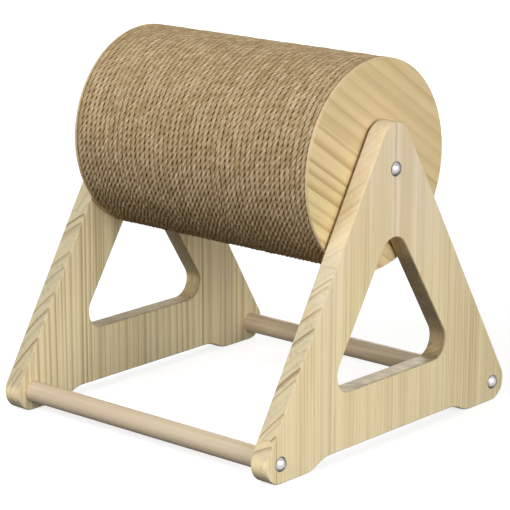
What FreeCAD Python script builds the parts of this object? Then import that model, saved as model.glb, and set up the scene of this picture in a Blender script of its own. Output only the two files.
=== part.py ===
"""Cat scratching cylinder: a rope-wound drum that spins between two A-shaped panels.

Millimetres, +Z up, X along the drum's axle, front towards -Y.
The origin is on the floor, in the middle of the four feet.
"""
import FreeCAD
import Part
import Sketcher
import math
import os
import re

Vector = FreeCAD.Vector

# Driving sizes: name, value, what it is. Lengths in millimetres.
SIZES = (
    ("overall_width", 264, "over the outer faces of the two side panels"),
    ("board_thickness", 15, "side panel board"),
    ("panel_height", 238, "floor to the top of the panel"),
    ("apex_radius", 17, "rounded top of the panel"),
    ("panel_edge_round", 1.2, "sanded edge of the panel's faces"),
    ("bolt_spacing", 250, "front foot bolt to rear foot bolt"),
    ("foot_radius", 15, "rounded end of each foot, round its bolt"),
    ("foot_sole_length", 27, "flat sole, from below the bolt inwards"),
    ("sole_ramp_length", 28, "S-curve from the sole up to the bottom rail"),
    ("rail_lift", 7, "bottom rail above the floor"),
    ("axle_drop", 34, "axle below the top of the panel"),
    ("cutout_base_height", 50, "floor to the lower edge of the cut-out"),
    ("cutout_top_drop", 84.5, "top of the cut-out below the top of the panel"),
    ("cutout_corner_spacing", 98, "between the centres of the two lower corners"),
    ("cutout_corner_radius", 14, "lower corners of the cut-out"),
    ("cutout_top_radius", 15.5, "top corner of the cut-out"),
    ("dowel_diameter", 16, "crossbar"),
    ("bolt_diameter", 6, "shank of every bolt"),
    ("bolt_reach", 20, "how far a bolt goes in behind its panel"),
    ("bolt_head_diameter", 11, "domed head"),
    ("bolt_head_height", 3.4, "domed head over the panel"),
    ("bolt_head_rim", 0.6, "straight rim below the dome"),
    ("bolt_hole_play", 0.25, "bolt to the panel's hole, all round"),
    ("bolt_end_gap", 3, "bore left empty beyond the bolt's end"),
    ("insert_wall", 1.2, "threaded insert"),
    ("insert_length", 16, "threaded insert"),
    ("seat_play", 0.05, "a pressed or screwed piece to its bore, all round"),
    ("axle_diameter", 12, "axle rod"),
    ("running_play", 0.05, "rod to bushing, all round"),
    ("bushing_wall", 3, "sleeve of the bushing"),
    ("bushing_flange_width", 4, "flange outside the sleeve"),
    ("bushing_flange_thickness", 2, "flange sunk in the disc's face"),
    ("washer_width", 6, "washer outside the rod"),
    ("washer_play", 0.3, "washer to the panel and to the disc"),
    ("drum_diameter", 156, "over the rope and the disc rims"),
    ("drum_end_gap", 2, "disc face to panel face"),
    ("disc_thickness", 15, "end disc board"),
    ("disc_rim_width", 2.4, "part of the disc outside the rope"),
    ("disc_rim_round", 1.4, "outer edge of the rim"),
    ("disc_shoulder_round", 0.5, "inner edge of the rim, beside the rope"),
    ("tube_wall", 4, "board tube below the rope"),
    ("tube_play", 0.1, "disc spigot to tube, all round"),
    ("brads_per_end", 4, "count, round each end of the tube"),
    ("brad_diameter", 1.8, "nail shank"),
    ("brad_length", 12, "nail with its head"),
    ("brad_head_diameter", 3.6, "nail head"),
    ("brad_head_thickness", 0.8, "nail head, flush with the tube"),
    ("brad_first_angle", 45, "degrees, first nail from the rear"),
    ("rope_diameter", 8.7, "wound rope in this form: one loop for two real turns"),
    ("rope_seat_gap", 0.3, "rope to tube"),
    ("rope_end_gap", 0.3, "first and last loop to the disc rims"),
    ("rope_loop_gap", 0.6, "least gap planned between loops"),
    ("rope_most_loops", 24, "count"),
    ("rope_step_angle", 290, "degrees from the rear, over the top: each loop steps sideways from here"),
)
NAMES = {name for name, number, note in SIZES}

# Places worked out from the driving sizes.
PANEL_INNER_X = "(overall_width / 2 - board_thickness)"
AXLE_Z = "(panel_height - axle_drop)"
DRUM_END_X = "(overall_width / 2 - board_thickness - drum_end_gap)"
RIM_INNER_X = "(overall_width / 2 - board_thickness - drum_end_gap - disc_rim_width)"
DISC_INNER_X = "(overall_width / 2 - board_thickness - drum_end_gap - disc_thickness)"
TUBE_RADIUS = "(drum_diameter / 2 - rope_diameter - rope_seat_gap)"
SPIGOT_RADIUS = "(drum_diameter / 2 - rope_diameter - rope_seat_gap - tube_wall - tube_play)"
ROPE_PATH_RADIUS = "(drum_diameter / 2 - rope_diameter / 2)"
BOLT_LENGTH = "(board_thickness + bolt_reach)"
BOLT_BORE_DEPTH = "(bolt_reach + bolt_end_gap)"
BUSHING_RADIUS = "(axle_diameter / 2 + running_play + bushing_wall)"
FLANGE_RADIUS = "(axle_diameter / 2 + running_play + bushing_wall + bushing_flange_width)"
INSERT_RADIUS = "(bolt_diameter / 2 + seat_play + insert_wall)"

TURN_TO_X = FreeCAD.Rotation(Vector(0, 1, 0), 90)
NO_TURN = FreeCAD.Rotation()
HALF_TURN = FreeCAD.Rotation(Vector(0, 0, 1), 180)
SIDES = (("left", -1), ("right", 1))
ENDS = (("front", -1), ("rear", 1))

# How a sketch numbers the points of a curve, and its own axes and origin.
START, END, CENTRE = 1, 2, 3
ACROSS_AXIS, UP_AXIS = -1, -2
ORIGIN = (-1, 1)

# Two faces nearer than this share of the board's thickness are the same face.
same_level_share = 1e-6
# A rim's edge is wider than this share of the drum.
rim_edge_share = 0.99
# Steps along the rope, as a share of its diameter, at which its gap to itself is measured.
rope_step_share = 0.25
# How far along the rope its neighbour is looked for, as a share of a loop.
rope_search_share = 1.1
# Where the flat part of a loop starts, is half way and ends, as shares of a turn.
flat_turn_shares = (0.25, 0.75, 1)

doc = FreeCAD.newDocument("scratching_cylinder")
sheet = doc.addObject("Spreadsheet::Sheet", "sizes")
for row, (name, number, note) in enumerate(SIZES, 1):
    sheet.set("A%d" % row, note)
    sheet.set("B%d" % row, str(number))
    sheet.setAlias("B%d" % row, name)
doc.recompute()


def linked(formula):
    """A formula of size names as an expression that reads the sheet."""
    def link(found):
        word = found.group()
        return "sizes." + word if word in NAMES else word
    return re.sub(r"[a-z_]+", link, formula)


def size(formula):
    """The number that a formula of size names gives now."""
    return float(sheet.evalExpression(linked(formula)))


def bind(thing, **formulas):
    for name, formula in formulas.items():
        thing.setExpression(name, linked(formula))


def place(thing, rotation=NO_TURN, x="0", y="0", z="0"):
    """Turn a thing, then tie its origin to the sheet."""
    thing.Placement = FreeCAD.Placement(Vector(size(x), size(y), size(z)), rotation)
    for axis, formula in (("x", x), ("y", y), ("z", z)):
        thing.setExpression("Placement.Base." + axis, linked(formula))


def cylinder(label, radius, length, rotation=TURN_TO_X, **at):
    """A cylinder that starts at its place and, unless turned otherwise, runs along +X."""
    solid = doc.addObject("Part::Cylinder", label)
    bind(solid, Radius=radius, Height=length)
    place(solid, rotation, **at)
    return solid


def group(kind, label, members):
    """Several solids as one object: kind is MultiFuse or Compound."""
    whole = doc.addObject("Part::" + kind, label)
    if kind == "Compound":
        whole.Links = members
    else:
        whole.Shapes = members
    return whole


def cut(label, base, tools):
    remainder = doc.addObject("Part::Cut", label)
    remainder.Base = base
    remainder.Tool = tools[0] if len(tools) == 1 else group("MultiFuse", label + "_tools", tools)
    return remainder


def new_body(label):
    return doc.addObject("PartDesign::Body", label)


def new_sketch(body, name, plane):
    sketch = body.newObject("Sketcher::SketchObject", name)
    support = [feature for feature in body.Origin.OriginFeatures if feature.Role == plane]
    sketch.AttachmentSupport = [(support[0], "")]
    sketch.MapMode = "FlatFace"
    return sketch


def dimension(sketch, kind, name, formula, *where):
    """A named dimension that the sheet drives."""
    index = sketch.addConstraint(Sketcher.Constraint(kind, *where, size(formula)))
    sketch.renameConstraint(index, name)
    sketch.setExpression("Constraints." + name, linked(formula))


def line(start, end):
    return Part.LineSegment(Vector(start[0], start[1], 0), Vector(end[0], end[1], 0)), START, END


def arc(centre, radius, start, end):
    """An arc between two angles in degrees, with the numbers of the ends that it is entered and left by."""
    circle = Part.Circle(Vector(centre[0], centre[1], 0), Vector(0, 0, 1), radius)
    low, high = sorted((math.radians(start), math.radians(end)))
    entry, leave = (START, END) if end > start else (END, START)
    return Part.ArcOfCircle(circle, low, high), entry, leave


def tangent_loop(sketch, pieces):
    """A closed outline whose pieces run smoothly into each other."""
    for curve, entry, leave in pieces:
        sketch.addGeometry(curve, False)
    for index, (curve, entry, leave) in enumerate(pieces):
        following = (index + 1) % len(pieces)
        sketch.addConstraint(Sketcher.Constraint("Tangent", index, leave, following, pieces[following][1]))


def side_angle(low_y, low_z, low_radius, top_z, top_radius):
    """Direction, in degrees, of the normal of the line that touches a low and a top circle."""
    across, up = -low_y, top_z - low_z
    lean = math.degrees(math.acos((low_radius - top_radius) / math.hypot(across, up)))
    return math.degrees(math.atan2(up, across)) - lean


def on_circle(centre, radius, angle):
    turn = math.radians(angle)
    return centre[0] + radius * math.cos(turn), centre[1] + radius * math.sin(turn)


def draw_panel_outline(sketch):
    """Bottom rail, ramps, soles, rounded feet, straight sides and rounded apex."""
    foot_y = size("bolt_spacing / 2")
    foot_radius = size("foot_radius")
    apex_radius = size("apex_radius")
    apex_z = size("panel_height - apex_radius")
    sole_y = size("bolt_spacing / 2 - foot_sole_length")
    ramp = size("sole_ramp_length")
    lift = size("rail_lift")
    rail_y = sole_y - ramp
    bend = (ramp ** 2 + lift ** 2) / (4 * lift)
    sweep = math.degrees(math.asin(ramp / 2 / bend))
    side = side_angle(foot_y, foot_radius, foot_radius, apex_z, apex_radius)
    rear_foot = (foot_y, foot_radius)
    front_foot = (-foot_y, foot_radius)
    apex = (0, apex_z)
    tangent_loop(sketch, [
        line((-rail_y, lift), (rail_y, lift)),
        arc((rail_y, lift - bend), bend, 90, 90 - sweep),
        arc((sole_y, bend), bend, 270 - sweep, 270),
        line((sole_y, 0), (foot_y, 0)),
        arc(rear_foot, foot_radius, -90, side),
        line(on_circle(rear_foot, foot_radius, side), on_circle(apex, apex_radius, side)),
        arc(apex, apex_radius, side, 180 - side),
        line(on_circle(apex, apex_radius, 180 - side), on_circle(front_foot, foot_radius, 180 - side)),
        arc(front_foot, foot_radius, 180 - side, 270),
        line((-foot_y, 0), (-sole_y, 0)),
        arc((-sole_y, bend), bend, 270, 270 + sweep),
        arc((-rail_y, lift - bend), bend, 90 + sweep, 90),
    ])
    rail, ramp_top, ramp_foot, sole, foot, apex_arc, far_foot, far_sole = 0, 1, 2, 3, 4, 6, 8, 9
    far_ramp_foot, far_ramp_top = 10, 11
    for rule in (
        ("PointOnObject", sole, START, ACROSS_AXIS),
        ("Horizontal", sole),
        ("Equal", foot, far_foot),
        ("Symmetric", foot, CENTRE, far_foot, CENTRE, UP_AXIS),
        ("Symmetric", sole, START, far_sole, END, UP_AXIS),
        ("Symmetric", rail, START, rail, END, UP_AXIS),
        ("PointOnObject", apex_arc, CENTRE, UP_AXIS),
        ("Equal", ramp_top, ramp_foot),
        ("Equal", far_ramp_foot, far_ramp_top),
    ):
        sketch.addConstraint(Sketcher.Constraint(*rule))
    sole_end = "bolt_spacing / 2 - foot_sole_length"
    dimension(sketch, "DistanceX", "sole_end", sole_end, *ORIGIN, sole, START)
    dimension(sketch, "DistanceX", "rail_end", sole_end + " - sole_ramp_length", *ORIGIN, rail, END)
    dimension(sketch, "DistanceY", "rail_place", "rail_lift", *ORIGIN, rail, START)
    dimension(sketch, "DistanceX", "foot_place", "bolt_spacing / 2", *ORIGIN, foot, CENTRE)
    dimension(sketch, "Radius", "foot_round", "foot_radius", foot)
    dimension(sketch, "DistanceY", "apex_place", "panel_height - apex_radius", *ORIGIN, apex_arc, CENTRE)
    dimension(sketch, "Radius", "apex_round", "apex_radius", apex_arc)


def draw_cutout(sketch):
    """Rounded triangle."""
    corner_y = size("cutout_corner_spacing / 2")
    corner_radius = size("cutout_corner_radius")
    base_z = size("cutout_base_height")
    top_radius = size("cutout_top_radius")
    top_z = size("panel_height - cutout_top_drop - cutout_top_radius")
    rear_corner = (corner_y, base_z + corner_radius)
    front_corner = (-corner_y, base_z + corner_radius)
    top = (0, top_z)
    side = side_angle(rear_corner[0], rear_corner[1], corner_radius, top_z, top_radius)
    tangent_loop(sketch, [
        line((-corner_y, base_z), (corner_y, base_z)),
        arc(rear_corner, corner_radius, -90, side),
        line(on_circle(rear_corner, corner_radius, side), on_circle(top, top_radius, side)),
        arc(top, top_radius, side, 180 - side),
        line(on_circle(top, top_radius, 180 - side), on_circle(front_corner, corner_radius, 180 - side)),
        arc(front_corner, corner_radius, 180 - side, 270),
    ])
    base, corner, top_arc, far_corner = 0, 1, 3, 5
    sketch.addConstraint(Sketcher.Constraint("Equal", corner, far_corner))
    sketch.addConstraint(Sketcher.Constraint("Symmetric", corner, CENTRE, far_corner, CENTRE, UP_AXIS))
    sketch.addConstraint(Sketcher.Constraint("PointOnObject", top_arc, CENTRE, UP_AXIS))
    dimension(sketch, "DistanceX", "corner_place", "cutout_corner_spacing / 2", *ORIGIN, corner, CENTRE)
    dimension(sketch, "Radius", "corner_round", "cutout_corner_radius", corner)
    dimension(sketch, "Radius", "top_round", "cutout_top_radius", top_arc)
    top_place = "panel_height - cutout_top_drop - cutout_top_radius"
    dimension(sketch, "DistanceY", "top_place", top_place, *ORIGIN, top_arc, CENTRE)
    dimension(sketch, "DistanceY", "base_place", "cutout_base_height", *ORIGIN, base, START)


def draw_bolt_holes(sketch):
    """One hole in each foot and one at the apex, for the axle bolt."""
    centres = (
        ("front", "-bolt_spacing / 2", "foot_radius"),
        ("rear", "bolt_spacing / 2", "foot_radius"),
        ("axle", "0", AXLE_Z),
    )
    radius = "bolt_diameter / 2 + bolt_hole_play"
    for index, (name, y, z) in enumerate(centres):
        centre = Vector(size(y), size(z), 0)
        sketch.addGeometry(Part.Circle(centre, Vector(0, 0, 1), size(radius)), False)
        dimension(sketch, "Radius", name + "_radius", radius, index)
        dimension(sketch, "DistanceX", name + "_across", y, *ORIGIN, index, CENTRE)
        dimension(sketch, "DistanceY", name + "_up", z, *ORIGIN, index, CENTRE)


def flat_edges(shape, levels):
    """Names of the edges that lie in one of the given planes of constant X."""
    near = size("board_thickness") * same_level_share
    names = []
    for index, edge in enumerate(shape.Edges, 1):
        box = edge.BoundBox
        flat = box.XMax - box.XMin < near
        if flat and any(abs(box.XMin - level) < near for level in levels):
            names.append("Edge%d" % index)
    return names


def through_pocket(body, name, sketch):
    """Cuts a sketch of the inner face right through the board."""
    before = body.Shape.Volume
    pocket = body.newObject("PartDesign::Pocket", name)
    pocket.Profile = sketch
    pocket.Type = "ThroughAll"
    pocket.Reversed = True
    doc.recompute()
    assert body.Shape.Volume < before, name
    return pocket


def side_panel(label, x):
    body = new_body(label)
    outline = new_sketch(body, label + "_outline", "YZ_Plane")
    draw_panel_outline(outline)
    board = body.newObject("PartDesign::Pad", label + "_board")
    board.Profile = outline
    bind(board, Length="board_thickness")
    doc.recompute()
    cutout = new_sketch(body, label + "_cutout", "YZ_Plane")
    draw_cutout(cutout)
    opened = through_pocket(body, label + "_opened", cutout)
    sanded = body.newObject("PartDesign::Fillet", label + "_sanded")
    sanded.Base = (opened, flat_edges(opened.Shape, (0, size("board_thickness"))))
    bind(sanded, Radius="panel_edge_round")
    doc.recompute()
    holes = new_sketch(body, label + "_holes", "YZ_Plane")
    draw_bolt_holes(holes)
    through_pocket(body, label + "_drilled", holes)
    place(body, x=x)
    return body


def turned(label, corners, rotation, x, y="0", z=AXLE_Z, dome=None):
    """A turned body: corners are (along, radius) formulas, and its axis runs along local +X.

    dome names the corner after which an arc, centred on the axis, takes the place of a straight line.
    """
    body = new_body(label)
    sketch = new_sketch(body, label + "_profile", "XY_Plane")
    points = [(size(along), size(radius)) for along, radius in corners]
    for index, start in enumerate(points):
        end = points[(index + 1) % len(points)]
        if index == dome:
            rise, reach = end[0] - start[0], start[1]
            ball = (rise ** 2 + reach ** 2) / (2 * rise)
            lean = math.degrees(math.asin(reach / ball))
            sketch.addGeometry(arc((end[0] - ball, 0), ball, 0, lean)[0], False)
            sketch.addConstraint(Sketcher.Constraint("PointOnObject", index, CENTRE, ACROSS_AXIS))
        else:
            sketch.addGeometry(line(start, end)[0], False)
    for index, (along, radius) in enumerate(corners):
        before = (index - 1) % len(corners)
        first = END if index == dome else START
        last = START if before == dome else END
        sketch.addConstraint(Sketcher.Constraint("Coincident", before, last, index, first))
        dimension(sketch, "DistanceX", "along_%d" % index, along, *ORIGIN, index, first)
        dimension(sketch, "DistanceY", "radius_%d" % index, radius, *ORIGIN, index, first)
    spun = body.newObject("PartDesign::Revolution", label + "_turned")
    spun.Profile = sketch
    spun.ReferenceAxis = (sketch, ["H_Axis"])
    spun.Angle = 360
    doc.recompute()
    place(body, rotation, x=x, y=y, z=z)
    return body


def facing(sign):
    """Rotation of a piece whose local +X points outwards on this side."""
    return HALF_TURN if sign < 0 else NO_TURN


def signed(sign, formula):
    return "%d * %s" % (sign, formula)


def bolt(label, sign, y, z):
    """Domed bolt: its local origin is the shank's tip."""
    seat = BOLT_LENGTH
    corners = (
        ("0", "0"),
        ("0", "bolt_diameter / 2"),
        (seat, "bolt_diameter / 2"),
        (seat, "bolt_head_diameter / 2"),
        (seat + " + bolt_head_rim", "bolt_head_diameter / 2"),
        (seat + " + bolt_head_height", "0"),
    )
    dome_foot = 4
    tip_x = signed(sign, "(overall_width / 2 - %s)" % BOLT_LENGTH)
    return turned(label, corners, facing(sign), tip_x, y, z, dome=dome_foot)


def crossbar_bolts():
    bolts = []
    for side, sign in SIDES:
        for end, toward in ENDS:
            label = "%s_%s_crossbar_bolt" % (end, side)
            bolts.append(bolt(label, sign, signed(toward, "bolt_spacing / 2"), "foot_radius"))
    return group("Compound", "crossbar_bolts", bolts)


def axle_bolts():
    bolts = [bolt(side + "_axle_bolt", sign, "0", AXLE_Z) for side, sign in SIDES]
    return group("Compound", "axle_bolts", bolts)


def tapped_bores(label, radius, depth, y, z):
    """A bore into each end of a bar that fills the space between the panels."""
    left = cylinder(label + "_left_bore", radius, depth, x=signed(-1, PANEL_INNER_X), y=y, z=z)
    right = cylinder(label + "_right_bore", radius, depth, x=PANEL_INNER_X + " - " + depth, y=y, z=z)
    return [left, right]


def bar(label, radius, bore_radius, y, z):
    """A round bar from panel to panel with a bore in each end."""
    left_x = signed(-1, PANEL_INNER_X)
    blank = cylinder(label + "_blank", radius, "2 * " + PANEL_INNER_X, x=left_x, y=y, z=z)
    return cut(label, blank, tapped_bores(label, bore_radius, BOLT_BORE_DEPTH, y, z))


def crossbar(end, toward):
    bore = INSERT_RADIUS + " + seat_play"
    y = signed(toward, "bolt_spacing / 2")
    return bar(end + "_crossbar", "dowel_diameter / 2", bore, y, "foot_radius")


def axle_rod():
    return bar("axle_rod", "axle_diameter / 2", "bolt_diameter / 2 + seat_play", "0", AXLE_Z)


def ring(label, outer, inner, length, **at):
    """A round tube along +X."""
    blank = cylinder(label + "_blank", outer, length, **at)
    return cut(label, blank, [cylinder(label + "_bore", inner, length, **at)])


def crossbar_inserts():
    inserts = []
    for side, sign in SIDES:
        for end, toward in ENDS:
            x = signed(-1, PANEL_INNER_X) if sign < 0 else PANEL_INNER_X + " - insert_length"
            label = "%s_%s_insert" % (end, side)
            inserts.append(ring(label, INSERT_RADIUS, "bolt_diameter / 2 + seat_play", "insert_length",
                                x=x, y=signed(toward, "bolt_spacing / 2"), z="foot_radius"))
    return group("Compound", "crossbar_inserts", inserts)


def bushing(side, sign):
    """Flanged plain bearing: the sleeve fills the disc and the flange is flush with its face."""
    bore = "axle_diameter / 2 + running_play"
    neck = "disc_thickness - bushing_flange_thickness"
    corners = (
        ("0", bore),
        ("0", BUSHING_RADIUS),
        (neck, BUSHING_RADIUS),
        (neck, FLANGE_RADIUS),
        ("disc_thickness", FLANGE_RADIUS),
        ("disc_thickness", bore),
    )
    return turned(side + "_bushing", corners, facing(sign), signed(sign, DISC_INNER_X))


def axle_washer(side, sign):
    thickness = "(drum_end_gap - 2 * washer_play)"
    x = (DRUM_END_X if sign > 0 else signed(-1, PANEL_INNER_X)) + " + washer_play"
    bore = "axle_diameter / 2 + running_play"
    return ring(side + "_axle_washer", "axle_diameter / 2 + washer_width", bore, thickness, x=x, z=AXLE_Z)


def brad_solids(label, sign, play):
    """Round nails, or the holes for them when play is more than nothing, pointing at the axle."""
    solids = []
    count = int(size("brads_per_end"))
    lap_middle = "(%s - (disc_thickness - disc_rim_width) / 2)" % RIM_INNER_X
    for index in range(count):
        name = "%s_%d" % (label, index + 1)
        head = cylinder(name + "_head", "brad_head_diameter / 2 + " + play,
                        "brad_head_thickness + " + play, NO_TURN)
        shank = cylinder(name + "_shank", "brad_diameter / 2 + " + play, "brad_length + " + play, NO_TURN)
        nail = group("MultiFuse", name, [head, shank])
        angle = size("brad_first_angle") + index * 360 / count
        across, up = math.cos(math.radians(angle)), math.sin(math.radians(angle))
        inwards = FreeCAD.Rotation(Vector(0, 0, 1), Vector(0, -across, -up))
        place(nail, inwards, x=signed(sign, lap_middle), y="%s * %.9f" % (TUBE_RADIUS, across),
              z="%s + %s * %.9f" % (AXLE_Z, TUBE_RADIUS, up))
        solids.append(nail)
    return solids


def end_disc(side, sign):
    """Disc with a rim outside the rope and a spigot inside the tube."""
    shoulder = "disc_thickness - disc_rim_width"
    neck = "disc_thickness - bushing_flange_thickness - seat_play"
    corners = (
        ("0", BUSHING_RADIUS + " + seat_play"),
        ("0", SPIGOT_RADIUS),
        (shoulder, SPIGOT_RADIUS),
        (shoulder, "drum_diameter / 2"),
        ("disc_thickness", "drum_diameter / 2"),
        ("disc_thickness", FLANGE_RADIUS + " + seat_play"),
        (neck, FLANGE_RADIUS + " + seat_play"),
        (neck, BUSHING_RADIUS + " + seat_play"),
    )
    body = turned(side + "_disc_turned", corners, facing(sign), signed(sign, DISC_INNER_X))
    rim_edges = (("rim", "disc_thickness", "disc_rim_round"), ("shoulder", shoulder, "disc_shoulder_round"))
    for name, level, radius in rim_edges:
        base = body.Tip
        edges = [edge for edge in flat_edges(base.Shape, (size(level),))
                 if base.Shape.getElement(edge).BoundBox.YLength > size("drum_diameter") * rim_edge_share]
        rounded = body.newObject("PartDesign::Fillet", "%s_%s_round" % (side, name))
        rounded.Base = (base, edges)
        bind(rounded, Radius=radius)
        doc.recompute()
    return cut(side + "_end_disc", body, brad_solids(side + "_disc_hole", sign, "seat_play"))


def core_tube():
    length = "2 * " + RIM_INNER_X
    left_x = signed(-1, RIM_INNER_X)
    tube = ring("tube_blank", TUBE_RADIUS, TUBE_RADIUS + " - tube_wall", length, x=left_x, z=AXLE_Z)
    holes = [hole for side, sign in SIDES for hole in brad_solids(side + "_tube_hole", sign, "seat_play")]
    return cut("core_tube", tube, holes)


def core_tube_brads():
    nails = [nail for side, sign in SIDES for nail in brad_solids(side + "_brad", sign, "0")]
    return group("Compound", "core_tube_brads", nails)


def biarc(start, start_way, end, end_way):
    """Two arcs that meet smoothly between two points with given directions."""
    chord = end - start
    ways = start_way + end_way
    spread = 2 * (1 - start_way.dot(end_way))
    along = chord.dot(ways)
    arm = (math.sqrt(along ** 2 + spread * chord.dot(chord)) - along) / spread
    start_arm = start + start_way * arm
    end_arm = end - end_way * arm
    middle = (start_arm + end_arm) * 0.5
    arcs = []
    for low, corner, high in ((start, start_arm, middle), (middle, end_arm, end)):
        bend = (corner - low).getAngle(high - low)
        weight = math.cos(bend)
        peak = (low + high + corner * (2 * weight)) * (1 / (2 + 2 * weight))
        arcs.append(Part.Arc(low, peak, high).toShape())
    return arcs


def winding_path():
    """Edges of the rope's centre line: flat loops, each with one quarter that steps to the next."""
    radius = size(ROPE_PATH_RADIUS)
    axle_z = size(AXLE_Z)
    rope = size("rope_diameter")
    first_x = size("rope_end_gap + rope_diameter / 2 - " + RIM_INNER_X)
    room = -2 * first_x
    loops = min(int(size("rope_most_loops")), 1 + int(room / (rope + size("rope_loop_gap"))))
    pitch = room / (loops - 1)
    step_angle = size("rope_step_angle")

    def spot(x, angle):
        turn = math.radians(angle)
        place_on_drum = Vector(x, radius * math.cos(turn), axle_z + radius * math.sin(turn))
        return place_on_drum, Vector(0, -math.sin(turn), math.cos(turn))

    spots = [spot(first_x + loop * pitch, step_angle + 360 * share)
             for loop in range(loops) for share in flat_turn_shares]
    edges = []
    for (start, start_way), (end, end_way) in zip(spots, spots[1:]):
        edges += biarc(start, start_way, end, end_way)
    first, first_way = spots[0]
    last, last_way = spots[-1]
    edges.insert(0, Part.LineSegment(first - first_way * rope, first).toShape())
    edges.append(Part.LineSegment(last, last + last_way * rope).toShape())
    return edges, loops, pitch


def least_gap(edges, rope):
    """Least distance between loops, measured on points along the centre line."""
    spacing = rope * rope_step_share
    points = []
    travelled = 0
    for edge in edges:
        count = max(2, round(edge.Length / spacing))
        for index in range(count):
            share = index / count
            where = edge.valueAt(edge.FirstParameter + (edge.LastParameter - edge.FirstParameter) * share)
            points.append((travelled + edge.Length * share, where))
        travelled += edge.Length
    loop_length = 2 * math.pi * size(ROPE_PATH_RADIUS)
    window = round(rope_search_share * loop_length / spacing)
    near = math.inf
    for index, (start, here) in enumerate(points):
        for along, there in points[index + 1:index + window]:
            if along - start > loop_length / 2:
                near = min(near, here.distanceToPoint(there))
    return near - rope


def rope_winding():
    """One unbroken tube wound from rim to rim."""
    edges, loops, pitch = winding_path()
    rope = size("rope_diameter")
    path = Part.Wire(edges)
    start = edges[0].valueAt(edges[0].FirstParameter)
    way = edges[0].tangentAt(edges[0].FirstParameter)
    section = Part.Wire(Part.Circle(start, way, rope / 2).toShape())
    shell = Part.BRepOffsetAPI.MakePipeShell(path)
    shell.add(section)
    shell.build()
    shell.makeSolid()
    winding = doc.addObject("Part::Feature", "rope_winding")
    winding.Shape = Part.Solid(shell.shape()) if shell.shape().ShapeType == "Shell" else shell.shape()
    winding.Placement = FreeCAD.Placement()
    fullness = winding.Shape.Volume / (math.pi * rope ** 2 / 4 * path.Length)
    print("rope: %d loops, pitch %.3f mm, length %.0f mm" % (loops, pitch, path.Length))
    print("rope: least gap to itself %.3f mm" % least_gap(edges, rope))
    print("rope: volume over section times length %.4f" % fullness)
    return winding


nodes = [
    side_panel("left_side_panel", "-overall_width / 2"),
    side_panel("right_side_panel", PANEL_INNER_X),
    crossbar_bolts(),
    axle_bolts(),
    crossbar_inserts(),
    axle_rod(),
    core_tube(),
    core_tube_brads(),
    rope_winding(),
]
nodes += [crossbar(end, toward) for end, toward in ENDS]
nodes += [make(side, sign) for make in (bushing, axle_washer, end_disc) for side, sign in SIDES]
doc.recompute()

for thing in doc.Objects:
    if "Invalid" in thing.State or "Error" in thing.State:
        raise SystemExit("not built: " + thing.Label)
for node in nodes:
    if node.Shape.isNull() or not node.Shape.isValid():
        raise SystemExit("bad shape: " + node.Label)

os.makedirs("parts", exist_ok=True)
for node in nodes:
    node.Shape.exportStep("parts/%s.step" % node.Label)
    print("%-20s %d solid(s) %10.0f mm3" % (node.Label, len(node.Shape.Solids), node.Shape.Volume))
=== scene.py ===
"""Looks of a cat scratching cylinder: a rope-wound drum that spins between two pine side panels.

Metres, +Z up, X along the axle, front towards -Y, floor at Z = 0.
The pieces stay where the frame has them. Only the rope is modelled anew, strand by strand.
"""

import math

import bpy
import numpy as np
from mathutils import Matrix, Vector


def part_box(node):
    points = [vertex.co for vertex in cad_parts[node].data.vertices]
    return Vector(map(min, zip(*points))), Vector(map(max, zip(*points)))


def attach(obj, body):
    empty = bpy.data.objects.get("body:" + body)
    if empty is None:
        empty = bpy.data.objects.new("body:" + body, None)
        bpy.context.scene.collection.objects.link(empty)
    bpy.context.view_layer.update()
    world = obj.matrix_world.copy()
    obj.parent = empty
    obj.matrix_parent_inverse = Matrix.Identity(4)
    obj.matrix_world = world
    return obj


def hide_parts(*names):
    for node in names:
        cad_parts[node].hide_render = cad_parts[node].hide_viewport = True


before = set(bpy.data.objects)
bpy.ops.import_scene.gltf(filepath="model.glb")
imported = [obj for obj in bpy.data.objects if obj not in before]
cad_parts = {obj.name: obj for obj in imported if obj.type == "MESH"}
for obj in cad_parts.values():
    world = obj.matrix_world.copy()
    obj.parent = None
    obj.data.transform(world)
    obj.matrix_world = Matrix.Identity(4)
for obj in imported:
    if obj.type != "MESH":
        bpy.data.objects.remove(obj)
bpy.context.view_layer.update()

MM = 0.001
QUARTER_TURN = math.pi / 2

# Camera: its place relative to the object in degrees, from the photograph's vanishing lines.
CAMERA_AZIMUTH = 41.28
CAMERA_ELEVATION = 14.67
CAMERA_ROLL = -0.03
CAMERA_DISTANCE = 1772.0 * MM
CAMERA_TARGET = Vector((2.77, -4.90, 119.15)) * MM
CAMERA_LENS_MM = 165.6
CAMERA_SENSOR_MM = 36.0
CAMERA_CLIP_RATIO = 100

# The drum, read from the frame.
WINDING_LOW, WINDING_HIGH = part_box("rope_winding")
TUBE_LOW, TUBE_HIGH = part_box("core_tube")
DISC_LOW, DISC_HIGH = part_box("right_end_disc")
AXLE_Z = (TUBE_LOW.z + TUBE_HIGH.z) / 2
TUBE_RADIUS = (TUBE_HIGH.z - TUBE_LOW.z) / 2
DISC_RADIUS = (DISC_HIGH.z - DISC_LOW.z) / 2

# The rope's section: three strands round its middle, pressed flat against the drum.
ROPE_TURNS = 48
ROPE_DIAMETER = (WINDING_HIGH.x - WINDING_LOW.x) / ROPE_TURNS
ROPE_RADIUS = ROPE_DIAMETER / 2
ROPE_FLATNESS = 0.70
ROPE_SQUARENESS = 4.5
ROPE_PATH_RADIUS = DISC_RADIUS - ROPE_FLATNESS * ROPE_RADIUS
STRANDS = 3
STRAND_SHIFT = 0.44 * ROPE_RADIUS
STRAND_RADIUS = 0.56 * ROPE_RADIUS
POINTS_PER_STRAND = 4

# The rope's lay: each turn of the drum shows this many strands, one after the other.
STRANDS_SEEN_PER_TURN = 97.15
LAY_LENGTH = STRANDS * 2 * math.pi * ROPE_PATH_RADIUS / STRANDS_SEEN_PER_TURN

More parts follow.
